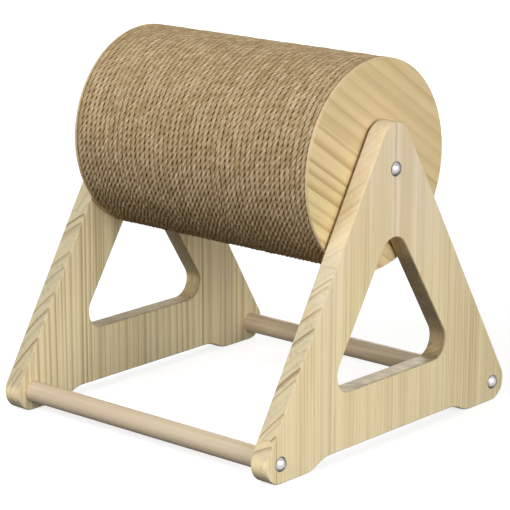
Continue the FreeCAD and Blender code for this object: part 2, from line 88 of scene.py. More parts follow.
# The rope's path. Angles are measured from the rear, over the top.
RINGS_PER_TURN = 372
RING_SPACING = 2 * math.pi * ROPE_PATH_RADIUS / RINGS_PER_TURN
STEP_ANGLE = math.radians(255)
STEP_SHARE = 0.10
TUCK_LENGTH = 14 * MM
TUCK_DEPTH = 5.0 * MM

# How far the rope's place, thickness, twist and tone waver, and over what length.
ROPE_SEED = 7
WANDER = 0.10 * MM
WANDER_EVERY = 11 * MM
SWELL = 0.05
TONE_MIDDLE = 0.5
TONE_SWING = 0.5
SWELL_EVERY = 5 * MM
TWIST_WANDER = 0.5
TWIST_EVERY = 160 * MM

# The sleeve below the turns.
SLEEVE_SIDES = 180
SLEEVE_GAP = 0.1 * MM
SLEEVE_REACH = 0.9

# The rope's map: one row for each turn, with a little room between rows.
MAP_ROW_FILL = 0.9

# How deep the rubbing and scratches of smooth pieces go.
MARK_DEPTH = 0.02 * MM
MARK_STRENGTH = 0.4


def srgb(red, green, blue):
    """A colour as a screen shows it, 0 to 255, as the linear colour that a shader takes."""
    linear = []
    for level in (red, green, blue):
        share = level / 255
        linear.append(share / 12.92 if share <= 0.04045 else ((share + 0.055) / 1.055) ** 2.4)
    return (*linear, 1.0)


# Shader trees

def wire(tree, socket, source):
    """Joins a socket to another node's output, or gives it a plain value."""
    if isinstance(source, bpy.types.NodeSocket):
        tree.links.new(source, socket)
    else:
        socket.default_value = source


def add(tree, kind, inputs=None, **settings):
    """A shader node with its settings and inputs."""
    made = tree.nodes.new("ShaderNode" + kind)
    for name, value in settings.items():
        setattr(made, name, value)
    for name, source in (inputs or {}).items():
        wire(tree, made.inputs[name], source)
    return made


def maths(tree, operation, *sources):
    return add(tree, "Math", dict(enumerate(sources)), operation=operation).outputs[0]


def plus(tree, first, second):
    return maths(tree, "ADD", first, second)


def minus(tree, first, second):
    return maths(tree, "SUBTRACT", first, second)


def times(tree, first, second):
    return maths(tree, "MULTIPLY", first, second)


def smooth(tree, value, low, high):
    """0 below low, 1 above high, and a smooth rise between."""
    sources = {"Value": value, "From Min": low, "From Max": high}
    return add(tree, "MapRange", sources, interpolation_type="SMOOTHSTEP").outputs[0]


def spread(tree, value, low, high):
    """A 0 to 1 value as low to high."""
    return add(tree, "MapRange", {"Value": value, "To Min": low, "To Max": high}).outputs[0]


def parts_of(tree, vector):
    return add(tree, "SeparateXYZ", {0: vector}).outputs


def vector_of(tree, *parts):
    return add(tree, "CombineXYZ", dict(enumerate(parts))).outputs[0]


def scaled(tree, vector, scale):
    return add(tree, "VectorMath", {0: vector, 1: scale}, operation="MULTIPLY").outputs[0]


def length_of(tree, vector):
    return add(tree, "VectorMath", {0: vector}, operation="LENGTH").outputs["Value"]


def blend_colours(tree, factor, first, second, way="MIX"):
    made = add(tree, "Mix", data_type="RGBA", blend_type=way)
    factor_socket, first_socket, second_socket = (made.inputs[place] for place in (0, 6, 7))
    wire(tree, factor_socket, factor)
    wire(tree, first_socket, first)
    wire(tree, second_socket, second)
    return made.outputs[2]


def dimmed(tree, colour, brightness):
    """A colour times a brightness."""
    grey = vector_of(tree, brightness, brightness, brightness)
    return blend_colours(tree, 1.0, colour, grey, "MULTIPLY")


def noise(tree, vector, scale=1.0, detail=2.0, roughness=0.5):
    sources = {"Vector": vector, "Scale": scale, "Detail": detail, "Roughness": roughness}
    return add(tree, "TexNoise", sources).outputs[0]


def random_of(tree, number):
    """Three random numbers, 0 to 1, that belong to a number."""
    colour = add(tree, "TexWhiteNoise", {"W": number}, noise_dimensions="1D").outputs["Color"]
    return add(tree, "SeparateColor", {0: colour}).outputs


def object_place(tree):
    return add(tree, "TexCoord").outputs["Object"]


def object_normal(tree):
    return add(tree, "TexCoord").outputs["Normal"]


def new_group(name, inputs, outputs):
    """A node group with named inputs and outputs, and the sockets inside that they arrive at."""
    tree = bpy.data.node_groups.new(name, "ShaderNodeTree")
    for label, kind, value in inputs:
        socket = tree.interface.new_socket(label, in_out="INPUT", socket_type="NodeSocket" + kind)
        if value is not None:
            socket.default_value = value
    for label, kind in outputs:
        tree.interface.new_socket(label, in_out="OUTPUT", socket_type="NodeSocket" + kind)
    entry = tree.nodes.new("NodeGroupInput")
    leave = tree.nodes.new("NodeGroupOutput")
    return tree, entry.outputs, leave.inputs


def use_group(tree, group, inputs):
    made = tree.nodes.new("ShaderNodeGroup")
    made.node_tree = group
    for name, source in inputs.items():
        wire(tree, made.inputs[name], source)
    return made.outputs


def make_board_figure():
    """Solid pine: staves glued side by side, each with growth rings round a heart of its own.

    Place is metres in the board: X through its thickness, Y across the grain, Z along it.
    """
    # Strides that keep the luck of one stave, ring or year apart from the next one's.
    stave_stride, ring_stride, year_stride = 3.7, 37.0, 11.3
    # Shares of the given distances to the heart, from the least lucky stave to the luckiest.
    heart_reach, heart_depth = (0.7, 1.3), (0.4, 1.5)
    # How early or late a year may run, and how fast that changes from year to year.
    year_swing, swing_rate = (-0.9, 0.9), 0.6
    # Where in a year its late wood darkens and where it stops, and how faint a ring may be.
    late_growth, late_stop, ring_strength = (0.30, 0.92), (0.93, 1.0), (0.3, 1.0)
    # Noise per metre: through the board, across the grain and along it.
    drift_scale = (14.0, 14.0, 3.2)
    band_scale = (55.0, 80.0, 2.5)
    line_scale = (260.0, 460.0, 3.0)
    crowd_scale = (30.0, 30.0, 4.0)
    streak_scale = (900.0, 900.0, 16.0)
    # From where to where a noise becomes a band, a line or a crowd of lines.
    band_edge, line_edge, crowd_edge = (0.40, 0.66), (0.58, 0.68), (0.38, 0.60)
    glue_edge = (0.1 * MM, 0.5 * MM)

    tree, given, out = new_group("board_figure", (
        ("Place", "Vector", None),
        ("Stave Width", "Float", 0.066),
        ("Ring Width", "Float", 0.005),
        ("Heart Across", "Float", 0.09),
        ("Heart Deep", "Float", 0.05),
        ("Waviness", "Float", 0.002),
        ("Seed", "Float", 0.0),
    ), (
        ("Late Wood", "Float"),
        ("Boldness", "Float"),
        ("Stave Tone", "Float"),
        ("Bands", "Float"),
        ("Lines", "Float"),
        ("Streaks", "Float"),
        ("Glue Line", "Float"),
    ))
    deep, across, along = parts_of(tree, given["Place"])
    staves = maths(tree, "DIVIDE", across, given["Stave Width"])
    stave = maths(tree, "FLOOR", staves)
    share = minus(tree, staves, stave)
    luck = random_of(tree, plus(tree, times(tree, stave, stave_stride), given["Seed"]))

    # The heart lies to one side of its stave, or the other.
    beyond = maths(tree, "GREATER_THAN", luck[0], 0.5)
    side = minus(tree, times(tree, beyond, 2.0), 1.0)
    reach = times(tree, given["Heart Across"], spread(tree, luck[1], *heart_reach))
    middle = times(tree, minus(tree, share, 0.5), given["Stave Width"])
    from_heart_across = plus(tree, middle, times(tree, side, reach))
    depth = times(tree, given["Heart Deep"], side)
    heart_deep = times(tree, depth, spread(tree, luck[1], *heart_depth))
    from_heart_deep = minus(tree, deep, heart_deep)
    radius = length_of(tree, vector_of(tree, from_heart_deep, from_heart_across, 0.0))

    # Rings wander a little, and no two are equally wide or equally dark.
    drift = noise(tree, scaled(tree, given["Place"], drift_scale), detail=1.5)
    bent = times(tree, spread(tree, drift, -1.0, 1.0), given["Waviness"])
    grown = maths(tree, "DIVIDE", plus(tree, radius, bent), given["Ring Width"])
    years = plus(tree, grown, times(tree, luck[1], ring_stride))
    paced = vector_of(tree, times(tree, years, swing_rate), stave, given["Seed"])
    pace = noise(tree, paced, detail=1.0)
    uneven = plus(tree, years, spread(tree, pace, *year_swing))
    year = maths(tree, "FLOOR", uneven)
    season = minus(tree, uneven, year)
    growth = smooth(tree, season, *late_growth)
    stop = minus(tree, 1.0, smooth(tree, season, *late_stop))
    year_number = plus(tree, year, times(tree, stave, year_stride))
    yearly = spread(tree, random_of(tree, year_number)[0], *ring_strength)
    wire(tree, out["Late Wood"], times(tree, times(tree, growth, stop), yearly))
    wire(tree, out["Boldness"], spread(tree, luck[0], *ring_strength))
    wire(tree, out["Stave Tone"], luck[2])

    # Broad soft bands, and a few thin dark lines among them.
    drifted = vector_of(tree, deep, plus(tree, across, bent), along)
    broad = noise(tree, scaled(tree, drifted, band_scale), detail=2.0)
    wire(tree, out["Bands"], smooth(tree, broad, *band_edge))
    thin = noise(tree, scaled(tree, drifted, line_scale), detail=1.0)
    crowded = noise(tree, scaled(tree, drifted, crowd_scale), detail=1.0)
    crowd = smooth(tree, crowded, *crowd_edge)
    wire(tree, out["Lines"], times(tree, smooth(tree, thin, *line_edge), crowd))
    fine = noise(tree, scaled(tree, given["Place"], streak_scale), detail=3.0, roughness=0.6)
    wire(tree, out["Streaks"], fine)

    nearest = maths(tree, "MINIMUM", share, minus(tree, 1.0, share))
    to_joint = times(tree, nearest, given["Stave Width"])
    wire(tree, out["Glue Line"], minus(tree, 1.0, smooth(tree, to_joint, *glue_edge)))
    return tree


def make_drum_wrap():
    """Places on the drum as metres round it and across it, so that fibres follow the turns."""
    tree, given, out = new_group("drum_wrap", (("Place", "Vector", None),), (("Wrapped", "Vector"),))
    x, y, z = parts_of(tree, given["Place"])
    up = minus(tree, z, AXLE_Z)
    turn = maths(tree, "ARCTAN2", up, y)
    round_it = times(tree, turn, ROPE_PATH_RADIUS)
    out_from_axle = length_of(tree, vector_of(tree, 0.0, y, up))
    wire(tree, out["Wrapped"], vector_of(tree, x, out_from_axle, round_it))
    return tree


def make_fine_marks():
    """Faint rubbing and scratches for smooth turned or cast pieces."""
    cloud_scale = 45.0
    tree, given, out = new_group("fine_marks", (
        ("Place", "Vector", None),
        ("Grain", "Vector", (1.0, 1.0, 1.0)),
        ("Scale", "Float", 400.0),
    ), (("Marks", "Float"), ("Cloud", "Float")))
    stretched = scaled(tree, given["Place"], given["Grain"])
    wire(tree, out["Marks"], noise(tree, stretched, given["Scale"], detail=4.0, roughness=0.65))
    wire(tree, out["Cloud"], noise(tree, given["Place"], cloud_scale))
    return tree


BOARD_FIGURE = make_board_figure()
DRUM_WRAP = make_drum_wrap()
FINE_MARKS = make_fine_marks()


def new_material(name):
    """A material with a lone Principled shader, its tree, and that shader's inputs."""
    material = bpy.data.materials.new(name)
    material.use_nodes = True
    tree = material.node_tree
    tree.nodes.clear()
    skin = add(tree, "BsdfPrincipled")
    wire(tree, add(tree, "OutputMaterial").inputs["Surface"], skin.outputs[0])
    return material, tree, skin.inputs


def bumped(tree, skin, height, distance, strength):
    """Raises the surface by a height of 0 to 1 over a distance in metres."""
    sources = {"Height": height, "Distance": distance, "Strength": strength}
    wire(tree, skin["Normal"], add(tree, "Bump", sources).outputs[0])


def pine(name, turn, centre, colours, figure, late_share=1.0, band_share=0.3, cut_share=0.8,
         line_share=0.6, streak_share=0.3, stave_tones=(0.97, 1.03), cut_fade=0.0, calm_share=0.0,
         square_cut_share=0.0, edge_shade_share=0.0, blush_lift=(0.0, 0.0), tone_lean=(0.0, 1.0)):
    """Planed softwood. turn brings the board's grain to Z, and centre is the middle of the board.

    The shares say how strongly late wood, bands, lines, streaks and saw cuts show, and how much painted
    shade the edges get.
    blush_lift and tone_lean are a rise per metre and an offset, up the grain and across it.
    """
    # How squarely a face crosses the grain, from where it starts to where it fully counts.
    sawn, square_sawn = (0.06, 0.56), (0.6, 0.95)
    # Square cuts are tinted near the floor only: not above the first height, fully below the second.
    floor_zone = (200 * MM, 100 * MM)
    # Walls of the cut-out face inwards, and painted shade darkens them: where it starts and how strong it
    # is.
    inward_wall, wall_shade_share = (-2 * MM, -20 * MM), 0.82
    # How squarely a face looks sideways. The sanded edge, which gets painted shade, lies between the rim
    # and the broad side.
    off_rim, on_side = (0.05, 0.45), (0.75, 0.99)
    blush_edge, stripe_edge, streak_edge = (0.35, 0.65), (0.1, 0.6), (0.48, 0.72)
    patch_scale, cloud_scale = (14.0, 14.0, 7.0), (22.0, 22.0, 7.0)
    cloud_tones = (0.95, 1.05)
    end_tint, square_tint = 0.75, 0.75
    narrowest_ring = 2.2
    glue_on_side, glue_on_cut = 0.45, 0.15
    late_height, relief_depth, relief_strength = 0.25, 0.12 * MM, 0.4
    roughness, shine = (0.45, 0.65), 0.2

    material, tree, skin = new_material(name)
    moved = add(tree, "Mapping", {"Vector": object_place(tree), "Location": centre}, vector_type="POINT")
    turned = add(tree, "Mapping", {"Vector": moved.outputs[0], "Rotation": turn}, vector_type="POINT")
    place = turned.outputs[0]
    wood = use_group(tree, BOARD_FIGURE, dict(figure, Place=place))
    normal = {"Vector": object_normal(tree), "Rotation": turn}
    facing = add(tree, "VectorRotate", normal, rotation_type="EULER_XYZ").outputs[0]

    # Blushing patches, which may grow up the board. The figure is calmer there.
    patches = noise(tree, scaled(tree, place, patch_scale), detail=2.0)
    rise = maths(tree, "MULTIPLY_ADD", parts_of(tree, place)[2], *blush_lift)
    blush = smooth(tree, plus(tree, patches, rise), *blush_edge)
    calm = spread(tree, blush, 1.0, 1.0 - calm_share)
    colour = blend_colours(tree, blush, colours["pale"], colours["blush"])

    # Where the saw crossed the grain, the wood is greyer and its rings show more strongly.
    crossing = maths(tree, "ABSOLUTE", parts_of(tree, facing)[2])
    faded = spread(tree, blush, 1.0, 1.0 - cut_fade)
    cut = times(tree, smooth(tree, crossing, *sawn), faded)
    colour = blend_colours(tree, times(tree, cut, end_tint), colour, colours["end"])
    low_down = smooth(tree, parts_of(tree, place)[2], *floor_zone)
    near_floor = times(tree, low_down, square_cut_share)
    square_cut = times(tree, smooth(tree, crossing, *square_sawn), near_floor)
    colour = blend_colours(tree, times(tree, square_cut, square_tint), colour, colours["end late"])
    # Painted shade on the walls that face inwards.
    inward = times(tree, parts_of(tree, facing)[1], parts_of(tree, place)[1])
    painted_wall_shade = times(tree, smooth(tree, inward, *inward_wall), wall_shade_share)
    colour = blend_colours(tree, painted_wall_shade, colour, colours["end late"])

    # Painted shade: sanded edges are darker, so that they catch less light.
    broadside = maths(tree, "ABSOLUTE", parts_of(tree, facing)[0])
    painted_edge_shade = minus(tree, smooth(tree, broadside, *off_rim), smooth(tree, broadside, *on_side))
    colour = blend_colours(tree, times(tree, painted_edge_shade, edge_shade_share), colour, colours["line"])

    # Bands, rings, lines and streaks.
    colour = blend_colours(tree, times(tree, wood["Bands"], band_share), colour, colours["band"])
    boldness = times(tree, wood["Boldness"], calm)
    planed_share = times(tree, boldness, late_share)
    extra_share = minus(tree, cut_share, planed_share)
    shown = plus(tree, planed_share, times(tree, cut, extra_share))
    narrowed = maths(tree, "POWER", wood["Late Wood"], spread(tree, cut, 1.0, narrowest_ring))
    ring_colour = blend_colours(tree, cut, colours["late"], colours["end late"])
    colour = blend_colours(tree, times(tree, narrowed, shown), colour, ring_colour)
    stripes = times(tree, smooth(tree, wood["Late Wood"], *stripe_edge), square_cut)
    colour = blend_colours(tree, stripes, colour, colours["end late"])
    lines = times(tree, wood["Lines"], times(tree, boldness, line_share))
    colour = blend_colours(tree, lines, colour, colours["line"])
    streaks = times(tree, smooth(tree, wood["Streaks"], *streak_edge), streak_share)
    colour = blend_colours(tree, streaks, colour, colours["late"])

    # Each stave has a tone of its own, and the glue shows between them.
    cloud = noise(tree, scaled(tree, place, cloud_scale), detail=2.0)
    leaning = maths(tree, "MULTIPLY_ADD", parts_of(tree, place)[1], *tone_lean)
    stave_tone = times(tree, spread(tree, wood["Stave Tone"], *stave_tones), leaning)
    colour = dimmed(tree, colour, times(tree, stave_tone, spread(tree, cloud, *cloud_tones)))
    glue = times(tree, wood["Glue Line"], spread(tree, cut, glue_on_side, glue_on_cut))
    wire(tree, skin["Base Color"], blend_colours(tree, glue, colour, colours["glue"]))
    wire(tree, skin["Roughness"], spread(tree, wood["Streaks"], *roughness))
    skin["Specular IOR Level"].default_value = shine
    relief = plus(tree, times(tree, wood["Late Wood"], late_height), wood["Streaks"])
    bumped(tree, skin, relief, relief_depth, relief_strength)
    return material


def rope_material(name, dark, middle, light, shade):
    """Twisted plant fibre: fine hairs along the turns, and painted shade between the strands."""
    # Noise per metre: across the drum, out from it and round it.
    hair_scale = (1300.0, 1300.0, 480.0)
    yarn_scale = (420.0, 420.0, 60.0)
    patch_scale = (38.0, 38.0, 16.0)
    hair_share, yarn_share, strand_share, groove_shade_share = 0.55, 0.2, 0.12, 0.31
    middle_edge, light_edge, groove_edge = (0.31, 0.51), (0.45, 0.65), (0.2, 1.0)
    patch_tones = (0.94, 1.06)
    hair_depth, hair_strength = 0.25 * MM, 0.6
    roughness, shine = (0.75, 0.95), 0.03

    material, tree, skin = new_material(name)
    wrapped = use_group(tree, DRUM_WRAP, {"Place": object_place(tree)})["Wrapped"]
    hairs = noise(tree, scaled(tree, wrapped, hair_scale), detail=3.0, roughness=0.6)
    yarns = noise(tree, scaled(tree, wrapped, yarn_scale), detail=2.0)
    strand = add(tree, "Attribute", attribute_name="strand_tone").outputs["Fac"]
    groove = add(tree, "Attribute", attribute_name="groove").outputs["Fac"]
    mixed = plus(tree, times(tree, hairs, hair_share), times(tree, yarns, yarn_share))
    level = plus(tree, mixed, times(tree, strand, strand_share))
    colour = blend_colours(tree, smooth(tree, level, *middle_edge), dark, middle)
    colour = blend_colours(tree, smooth(tree, level, *light_edge), colour, light)
    patches = noise(tree, scaled(tree, wrapped, patch_scale), detail=2.0)
    colour = dimmed(tree, colour, spread(tree, patches, *patch_tones))
    # Painted shade in the hollows between the strands, in the shade colour.
    painted_groove_shade = times(tree, smooth(tree, groove, *groove_edge), groove_shade_share)
    wire(tree, skin["Base Color"], blend_colours(tree, painted_groove_shade, colour, shade))
    wire(tree, skin["Roughness"], spread(tree, hairs, *roughness))
    skin["Specular IOR Level"].default_value = shine
    bumped(tree, skin, hairs, hair_depth, hair_strength)
    return material


def chrome_with_painted_highlight(name, bright, dark, highlight_toward, reach):
    """Plated bolt heads with painted light: a painted highlight where the dome faces one direction, and a
    painted dark reflection beyond its reach.
    """
    mark_scale, cloud_share, roughness = 500.0, 0.06, (0.12, 0.24)
    material, tree, skin = new_material(name)
    marks = use_group(tree, FINE_MARKS, {"Place": object_place(tree), "Scale": mark_scale})
    along_axle, across, up = parts_of(tree, object_normal(tree))
    outward = vector_of(tree, maths(tree, "ABSOLUTE", along_axle), across, up)
    to_spot = {0: outward, 1: Vector(highlight_toward).normalized()}
    nearness = add(tree, "VectorMath", to_spot, operation="DOT_PRODUCT").outputs["Value"]
    clouded = plus(tree, nearness, times(tree, marks["Cloud"], cloud_share))
    # Painted highlight and painted dark reflection: bright where the dome faces the given way, dark
    # elsewhere.
    painted_highlight = smooth(tree, clouded, reach, 1.0)
    wire(tree, skin["Base Color"], blend_colours(tree, painted_highlight, dark, bright))
    wire(tree, skin["Roughness"], spread(tree, marks["Marks"], *roughness))
    skin["Metallic"].default_value = 1.0
    bumped(tree, skin, marks["Marks"], MARK_DEPTH, MARK_STRENGTH)
    return material


def plain_piece(name, colour, worn, roughness, metallic=0.0, grain=(1.0, 1.0, 1.0)):
    """A smooth metal or moulded piece, in two near colours, with faint marks."""
    mark_edge, mark_share, cloud_share = (0.45, 0.75), 0.3, 0.12
    material, tree, skin = new_material(name)
    marks = use_group(tree, FINE_MARKS, {"Place": object_place(tree), "Grain": grain})
    marked = times(tree, smooth(tree, marks["Marks"], *mark_edge), mark_share)
    wear = plus(tree, marked, times(tree, marks["Cloud"], cloud_share))
    wire(tree, skin["Base Color"], blend_colours(tree, wear, colour, worn))
    wire(tree, skin["Roughness"], spread(tree, marks["Marks"], *roughness))
    skin["Metallic"].default_value = metallic
    bumped(tree, skin, marks["Marks"], MARK_DEPTH, MARK_STRENGTH)
    return material


# Rope

def wavering(rng, count, every, amount):
    """Smooth random wavering along count rings of the rope."""
    fewest = 3
    knots = int(count * RING_SPACING / every) + fewest
    places = np.linspace(0, count - 1, knots)
    levels = rng.normal(0.0, amount, knots)
    rough = np.interp(np.arange(count), places, levels)
    # The window is half as wide as the knots lie apart, and its two zero ends are cut off.
    width = max(fewest, int(every / RING_SPACING / 2))
    window = np.hanning(width + 2)[1:-1]
    return np.convolve(rough, window / window.sum(), mode="same")


def rope_stations():
    """Angle round the drum, place along it and depth of the tuck, for each ring of the rope."""
    count = int(RINGS_PER_TURN * (ROPE_TURNS - STEP_SHARE)) + 1
    turned = np.arange(count) / RINGS_PER_TURN
    angle = STEP_ANGLE + 2 * math.pi * (turned + STEP_SHARE)
    loop = np.floor(turned)
    # Each turn lies flat, then steps smoothly aside to where the next one starts.
    flat_share = 1 - STEP_SHARE
    step = np.clip((turned - loop - flat_share) / STEP_SHARE, 0, 1)
    x = WINDING_LOW.x + ROPE_RADIUS + ROPE_DIAMETER * (loop + step * step * (3 - 2 * step))
    from_end = np.minimum(np.arange(count), np.arange(count)[::-1]) * RING_SPACING
    tuck = np.clip(1 - from_end / TUCK_LENGTH, 0, 1) ** 2 * TUCK_DEPTH
    return angle, x, tuck


def strand_section():
    """Radius and angle of the points round one ring, and how deep each lies between strands."""
    swing = np.linspace(-math.pi / STRANDS, math.pi / STRANDS, POINTS_PER_STRAND + 1)[:-1]
    aside = STRAND_SHIFT * np.sin(swing)
    out = STRAND_SHIFT * np.cos(swing) + np.sqrt(STRAND_RADIUS ** 2 - aside ** 2)
    angles = np.concatenate([swing + 2 * math.pi * strand / STRANDS for strand in range(STRANDS)])
    radii = np.tile(out, STRANDS)
    depth = (radii.max() - radii) / (radii.max() - radii.min())
    return radii, angles, depth


def rope_points(rng):
    """Points of the rope's rings, the depth between strands and a tone for each strand."""
    angle, x, tuck = rope_stations()
    count = len(angle)
    radii, angles, depth = strand_section()
    path = ROPE_PATH_RADIUS - tuck + wavering(rng, count, WANDER_EVERY, WANDER)
    x = x + wavering(rng, count, WANDER_EVERY, WANDER)
    outward = np.stack([np.zeros(count), np.cos(angle), np.sin(angle)], 1)
    sideways = np.array([-1.0, 0.0, 0.0])
    along_axle = np.stack([x, np.zeros(count), np.full(count, AXLE_Z)], 1)
    centre = outward * path[:, None] + along_axle
    twist = 2 * math.pi * np.arange(count) * RING_SPACING / LAY_LENGTH
    twist = twist + wavering(rng, count, TWIST_EVERY, TWIST_WANDER)
    swing = twist[:, None] + angles[None]
    swells = [wavering(rng, count, SWELL_EVERY, SWELL) for strand in range(STRANDS)]
    tones = [wavering(rng, count, SWELL_EVERY, TONE_SWING) for strand in range(STRANDS)]
    swell = 1 + np.repeat(np.stack(swells, 1), POINTS_PER_STRAND, axis=1)
    squared = np.abs(np.cos(swing)) ** ROPE_SQUARENESS + np.abs(np.sin(swing)) ** ROPE_SQUARENESS
    reach = radii[None] * swell * squared ** (-1 / ROPE_SQUARENESS)
    points = (centre[:, None] + outward[:, None] * (ROPE_FLATNESS * reach * np.cos(swing))[..., None]
              + sideways * (reach * np.sin(swing))[..., None])
    tone = np.clip(TONE_MIDDLE + np.repeat(np.stack(tones, 1), POINTS_PER_STRAND, axis=1), 0, 1)
    depths = np.broadcast_to(depth, (count, len(depth)))
    return points, depths, tone


def grid_faces(rings, across):
    """Corner numbers of the faces of a closed tube of rings."""
    ring, point = np.meshgrid(np.arange(rings - 1), np.arange(across), indexing="ij")
    following = (point + 1) % across
    corners = [ring * across + point, ring * across + following,
               (ring + 1) * across + following, (ring + 1) * across + point]
    return np.stack(corners, -1).reshape(-1, 4)


def mesh_piece(name, points, faces, material, caps=(), smooth_faces=True):
    """A mesh object from points, four-cornered faces and closing outlines."""
    mesh = bpy.data.meshes.new(name)
    mesh.from_pydata(points.reshape(-1, 3).tolist(), [], faces.tolist() + [list(cap) for cap in caps])
    mesh.polygons.foreach_set("use_smooth", np.full(len(mesh.polygons), smooth_faces))
    mesh.materials.append(material)
    piece = bpy.data.objects.new(name, mesh)
    bpy.context.scene.collection.objects.link(piece)
    return piece


def point_values(piece, name, values):
    layer = piece.data.attributes.new(name, "FLOAT", "POINT")
    layer.data.foreach_set("value", np.ascontiguousarray(values, np.float32).ravel())


def lay_out_rope_map(piece, rings, across):
    """Gives the rope a map of one row for each turn, so that its colours keep their detail."""
    ring, point = np.meshgrid(np.arange(rings - 1), np.arange(across), indexing="ij")
    row = ring // RINGS_PER_TURN
    column = ring - row * RINGS_PER_TURN
    row_height = 1 / ROPE_TURNS
    left = column / RINGS_PER_TURN
    right = (column + 1) / RINGS_PER_TURN
    low = (row + MAP_ROW_FILL * point / across) * row_height
    high = (row + MAP_ROW_FILL * (point + 1) / across) * row_height
    corners = np.stack([np.stack([left, low], -1), np.stack([left, high], -1),
                        np.stack([right, high], -1), np.stack([right, low], -1)], 2)
    layer = piece.data.uv_layers.new(name="OFBake")
    flat = np.zeros((len(piece.data.loops), 2), np.float32)
    flat[:corners.size // 2] = corners.reshape(-1, 2)
    layer.uv.foreach_set("vector", flat.ravel())


def wound_rope(material):
    """The three-strand rope, wound from rim to rim in one length."""
    points, depths, tones = rope_points(np.random.default_rng(ROPE_SEED))
    rings, across = points.shape[:2]
    caps = (range(across)[::-1], range((rings - 1) * across, rings * across))
    piece = mesh_piece("wound_rope", points, grid_faces(rings, across), material, caps)
    point_values(piece, "groove", depths)
    point_values(piece, "strand_tone", tones)
    lay_out_rope_map(piece, rings, across)
    return piece


def under_layer(material):
    """The sleeve that the visible turns lie on, between the rope and the tube."""
    left, right = WINDING_LOW.x, WINDING_HIGH.x
    inner = TUBE_RADIUS + SLEEVE_GAP
    outer = ROPE_PATH_RADIUS - SLEEVE_REACH * ROPE_FLATNESS * ROPE_RADIUS
    outline = ((left, inner), (left, outer), (right, outer), (right, inner))
    turn = np.linspace(0, 2 * math.pi, SLEEVE_SIDES, endpoint=False)
    rings = [np.stack([np.full(SLEEVE_SIDES, x), radius * np.cos(turn), AXLE_Z + radius * np.sin(turn)], 1)
             for x, radius in outline]
    count = len(outline) * SLEEVE_SIDES
    faces = grid_faces(len(outline) + 1, SLEEVE_SIDES) % count
    return mesh_piece("rope_under_layer", np.array(rings), faces, material, smooth_faces=False)


# Materials of this object

def wood_colours(pale, blush, band, late, line, glue, end, end_late):
    """Colours of one kind of board, each as a screen shows it."""
    names = ("pale", "blush", "band", "late", "line", "glue", "end", "end late")
    levels = (pale, blush, band, late, line, glue, end, end_late)
    return {name: srgb(*level) for name, level in zip(names, levels)}


def wood_figure(stave, ring, heart_across, heart_deep, waviness):
    """Sizes of the growth figure, in millimetres."""
    names = ("Stave Width", "Ring Width", "Heart Across", "Heart Deep", "Waviness")
    sizes = (stave, ring, heart_across, heart_deep, waviness)
    return {name: size * MM for name, size in zip(names, sizes)}


QUIET_PANEL_COLOURS = wood_colours(
    pale=(244, 227, 184), blush=(243, 227, 200), band=(218, 195, 148), late=(208, 186, 140),
    line=(166, 147, 108), glue=(146, 132, 106), end=(173, 165, 141), end_late=(138, 118, 86))
STRIPED_PANEL_COLOURS = dict(
    QUIET_PANEL_COLOURS, pale=srgb(252, 239, 196), blush=srgb(250, 234, 193), end=srgb(158, 150, 127))
RIGHT_DISC_COLOURS = wood_colours(
    pale=(228, 209, 157), blush=(231, 207, 159), band=(206, 181, 132), late=(186, 153, 104),
    line=(168, 138, 96), glue=(170, 150, 118), end=(206, 184, 152), end_late=(176, 148, 110))
# The left disc: the right disc's wood, darker and greyer, most of all on its end grain rim: painted shade.
LEFT_DISC_SHADED_COLOURS = dict(
    RIGHT_DISC_COLOURS, pale=srgb(222, 204, 160), blush=srgb(222, 201, 160), end=srgb(172, 160, 144))
FRONT_DOWEL_COLOURS = wood_colours(
    pale=(209, 194, 168), blush=(207, 189, 164), band=(191, 171, 143), late=(186, 166, 136),
    line=(168, 146, 116), glue=(180, 160, 132), end=(190, 170, 142), end_late=(160, 138, 108))
# The rear dowel: paler than the front one, painted light that makes up for the drum's shadow on it.
REAR_DOWEL_PAINTED_LIGHT_COLOURS = wood_colours(
    pale=(250, 241, 219), blush=(245, 229, 202), band=(208, 186, 152), late=(184, 160, 126),
    line=(150, 126, 94), glue=(180, 160, 132), end=(200, 182, 152), end_late=(160, 138, 108))

STRIPED_FIGURE = wood_figure(stave=66, ring=5.0, heart_across=90, heart_deep=100, waviness=2.2)
QUIET_FIGURE = wood_figure(stave=66, ring=3.4, heart_across=100, heart_deep=60, waviness=2.6)
DISC_FIGURE = wood_figure(stave=96, ring=8.4, heart_across=90, heart_deep=50, waviness=2.5)
DOWEL_FIGURE = wood_figure(stave=500, ring=4.5, heart_across=60, heart_deep=20, waviness=1.5)

# How each kind of board shows its figure, and how much painted shade its edges get.
STRIPED_PANEL = dict(
    figure=dict(STRIPED_FIGURE, Seed=19.0), late_share=1.25, band_share=0.2, cut_share=1.2,
    square_cut_share=0.9, edge_shade_share=0.35)
QUIET_PANEL = dict(
    figure=dict(QUIET_FIGURE, Seed=26.0), late_share=0.8, band_share=0.5, cut_share=1.1,
    square_cut_share=0.9, edge_shade_share=0.35, cut_fade=0.75, calm_share=0.55,
    blush_lift=(5.0, -0.72), tone_lean=(-0.9, 0.98))
RIGHT_DISC = dict(
    figure=dict(DISC_FIGURE, Seed=17.0), late_share=1.25, band_share=0.35, line_share=0.25,
    streak_share=0.12, stave_tones=(0.90, 1.04), edge_shade_share=0.3)
# The left disc's sanded edge gets more painted shade than the right one's.
LEFT_DISC = dict(RIGHT_DISC, figure=dict(DISC_FIGURE, Seed=15.0), edge_shade_share=0.7)
FRONT_DOWEL = dict(figure=dict(DOWEL_FIGURE, Seed=2.0), band_share=0.3)
REAR_DOWEL = dict(figure=dict(DOWEL_FIGURE, Seed=9.0), band_share=0.8)

# Turns that bring each piece's grain to Z.
DISC_GRAIN_ANGLE = math.radians(33)
GRAIN_UP = (0.0, 0.0, 0.0)
GRAIN_ALONG_X = (0.0, -QUARTER_TURN, 0.0)
GRAIN_ACROSS_DISC = (QUARTER_TURN + DISC_GRAIN_ANGLE, 0.0, 0.0)


